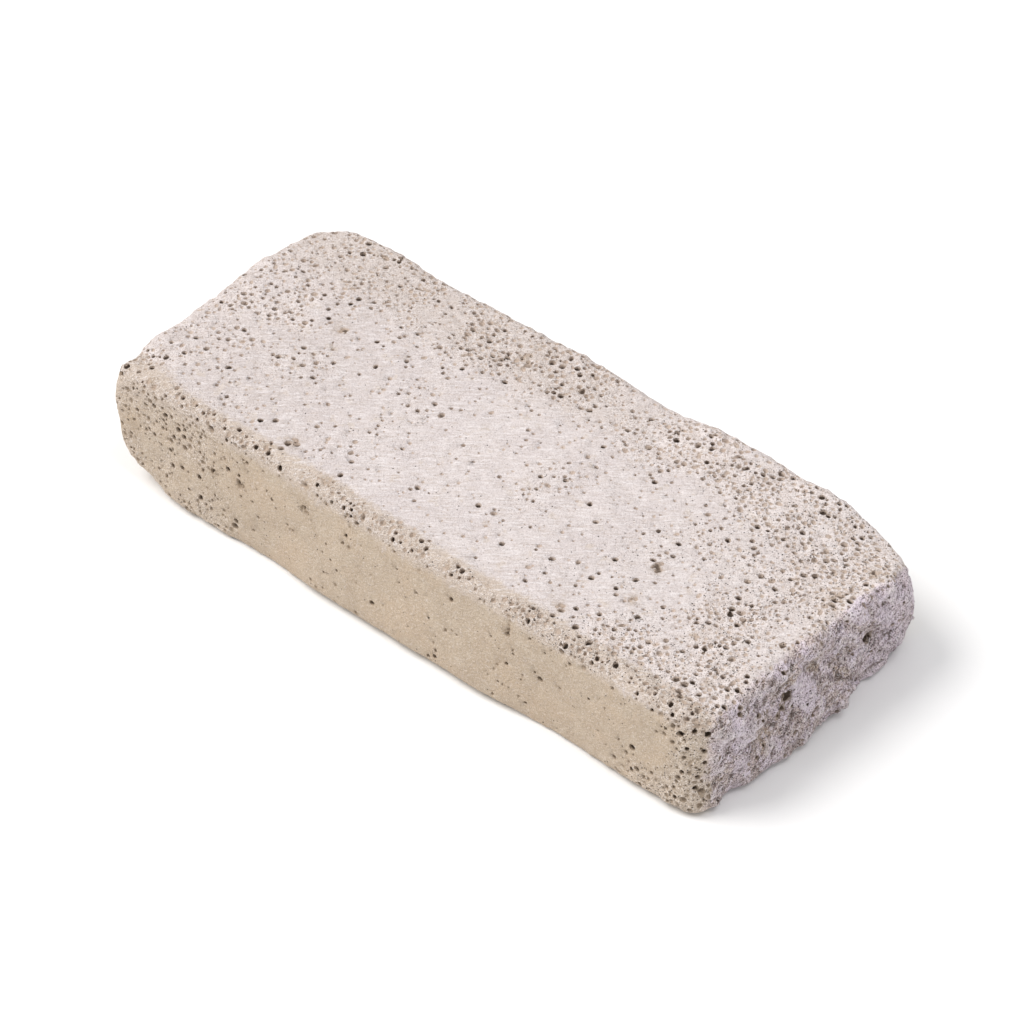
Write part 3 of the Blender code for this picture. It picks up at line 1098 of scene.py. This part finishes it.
def torn_colour(n, v):
    """Grey-lilac with pale lobes and strands and brown patches, painted highlight on bulges
    and painted shade in crevices and hollows.
    """
    colour = n.blend(n.ramp(v.mottle, 0.4, 0.6), *LILAC)
    corner = n.math("MULTIPLY_ADD", v.mottle, 6, v.y)
    colour = n.tint(colour, LILAC_AT_NEAR_CORNER, corner, -16.5, -20, 0.75)
    colour = n.tint(colour, LILAC_PATCH, v.patches, 0.45, 0.6, 0.75)
    colour = n.tint(colour, LILAC_BROWN, v.brown, 0.15, 0.75, 0.8)
    colour = n.tint(colour, LILAC_AT_FAR_CORNER, v.y, 4, 16, 0.6)
    colour = n.tint(colour, LOBE, v.calm, 0.1, 0.8, 0.8)
    crumbly = n.ramp(v.calm, 0.2, 0.9, 1, 0.35)
    colour = n.tint(colour, CRUMB_DARK, v.grain, 0.5, 0.36, 0.8, where=crumbly)
    colour = n.tint(colour, STRAND_PALE, v.fibre, 0.5, 0.64, 0.75)
    colour = n.tint(colour, STRAND_DARK, v.fibre, 0.46, 0.34, 0.8, where=crumbly)
    # Painted highlight where the torn surface stands above the worn skin.
    colour = n.tint(colour, RAISED_PAINTED_HIGHLIGHT, v.sunk, 0.0, -0.6, 0.4)
    # Painted shade where the torn surface sinks into crevices.
    colour = n.tint(colour, CREVICE_PAINTED_SHADE, v.sunk, 0.3, 1.0, 0.85)
    # Painted shade in the hollows between lumps.
    return n.tint(colour, HOLLOW_PAINTED_SHADE, v.crest, -0.03, -0.16, 0.85)


def marked_colour(n, v, colour, pits):
    """The colour with brush marks, grain, rims pale from wear and painted highlight, tan
    bubble walls, and painted shade deep in bubbles and pits.
    """
    colour = n.tint(colour, STREAK_DARK, v.streaks, 0.48, 0.34, 0.55, where=v.brushed)
    colour = n.tint(colour, STREAK_PALE, v.streaks, 0.52, 0.66, 0.55, where=v.brushed)
    colour = n.tint(colour, GRAIN_PALE, v.grain, 0.53, 0.7, 0.75, where=v.coarse)
    colour = n.tint(colour, GRAIN_DARK, v.grain, 0.46, 0.3, 0.75, where=v.coarse)
    # Crests are paler: partly worn powder-white, partly painted highlight.
    colour = n.tint(colour, RIM_WEAR_AND_HIGHLIGHT, v.crest, 0.1, 0.22, 0.35)
    wall = n.blend(v.upright, BUBBLE_WALL_ON_TOP, BUBBLE_WALL_ON_SIDE)
    colour = n.tint(colour, wall, v.depth, 0.02, 0.18, 0.75)
    # Painted shade deep inside the bubbles, starting a little deeper in foam.
    shade_from = n.ramp(v.rich, 0.3, 0.8, 0.28, 0.35)
    shade_to = n.math("ADD", shade_from, 0.3)
    colour = n.tint(colour, BUBBLE_PAINTED_SHADE, v.depth, shade_from, shade_to, 0.88)
    # Painted shade in the tiny pits.
    return n.tint(colour, PIT_PAINTED_SHADE, pits, 0.1, 0.8, 0.92)


def fine_relief(n, v, pits):
    """Height in millimetres of what is finer than the mesh."""
    height = n.math("MULTIPLY", pits, -0.25)
    height = n.math("MULTIPLY_ADD", v.grit, 0.25, height)
    height = n.math("MULTIPLY_ADD", n.math("MULTIPLY", v.grain, v.coarse), 0.3, height)
    height = n.math("MULTIPLY_ADD", n.math("MULTIPLY", v.streaks, v.brushed), 0.28, height)
    return n.math("MULTIPLY_ADD", n.math("MULTIPLY", v.fibre, v.torn), 0.5, height)


def pumice_material():
    material = bpy.data.materials.new("pumice")
    n = Nodes(material)
    v = skin_values(n)
    share = n.math("MULTIPLY", n.ramp(v.x, 5, 50), n.ramp(v.rich, 0.2, 0.8, 0.08, 0.75))
    share = n.math("MAXIMUM", n.math("MAXIMUM", share, 0.04), v.torn)
    pits = n.pits(v.plain, 0.4, share, 0.06, 0.14)
    colour = n.blend(v.torn, worn_colour(n, v), torn_colour(n, v))
    n.put(marked_colour(n, v, colour, pits), n.surface.inputs["Base Color"])
    bump = n.add("ShaderNodeBump")
    bump.inputs["Distance"].default_value = MM
    n.put(fine_relief(n, v, pits), bump.inputs["Height"])
    n.put(bump.outputs["Normal"], n.surface.inputs["Normal"])
    n.put(n.ramp(v.mottle, 0.3, 0.7, 0.86, 1.0), n.surface.inputs["Roughness"])
    n.surface.inputs["Specular IOR Level"].default_value = 0.2
    return material


def floor_material():
    material = bpy.data.materials.new("studio floor")
    n = Nodes(material)
    n.put(FLOOR_GREY, n.surface.inputs["Base Color"])
    n.put(1.0, n.surface.inputs["Roughness"])
    n.put(0.0, n.surface.inputs["Specular IOR Level"])
    return material


def make_floor():
    bpy.ops.mesh.primitive_plane_add(size=FLOOR_SIZE)
    floor = bpy.context.object
    floor.name = "floor"
    floor.data.materials.append(floor_material())
    return floor


def area_light(name, place, size, power, colour):
    light = bpy.data.lights.new(name, "AREA")
    light.shape = "DISK"
    light.size = size
    light.energy = power
    light.color = colour
    lamp = bpy.data.objects.new(name, light)
    lamp.location = place
    lamp.rotation_euler = (-Vector(place)).to_track_quat("-Z", "Y").to_euler()
    bpy.context.scene.collection.objects.link(lamp)


def make_studio():
    world = bpy.data.worlds.new("studio")
    world.use_nodes = True
    background = world.node_tree.nodes["Background"]
    background.inputs["Color"].default_value = (1, 1, 1, 1)
    background.inputs["Strength"].default_value = WORLD_STRENGTH
    bpy.context.scene.world = world
    bpy.context.scene.view_settings.view_transform = "Standard"
    for name, settings in LIGHTS.items():
        area_light(name, *settings)


def make_camera():
    camera_data = bpy.data.cameras.new("camera")
    camera_data.lens = LENS
    camera_data.sensor_width = SENSOR
    camera = bpy.data.objects.new("camera", camera_data)
    azimuth, elevation = np.radians((CAMERA_AZIMUTH, CAMERA_ELEVATION))
    back = Vector(
        (
            np.sin(azimuth) * np.cos(elevation),
            -np.cos(azimuth) * np.cos(elevation),
            np.sin(elevation),
        )
    )
    camera.location = Vector(CAMERA_TARGET) + back * CAMERA_DISTANCE
    camera.rotation_euler = (-back).to_track_quat("-Z", "Y").to_euler()
    bpy.context.scene.collection.objects.link(camera)
    bpy.context.scene.camera = camera


stone = make_stone()
stone.data.materials.append(pumice_material())
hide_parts("pumice_stone")
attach(stone, "root")

make_floor()
make_studio()
make_camera()
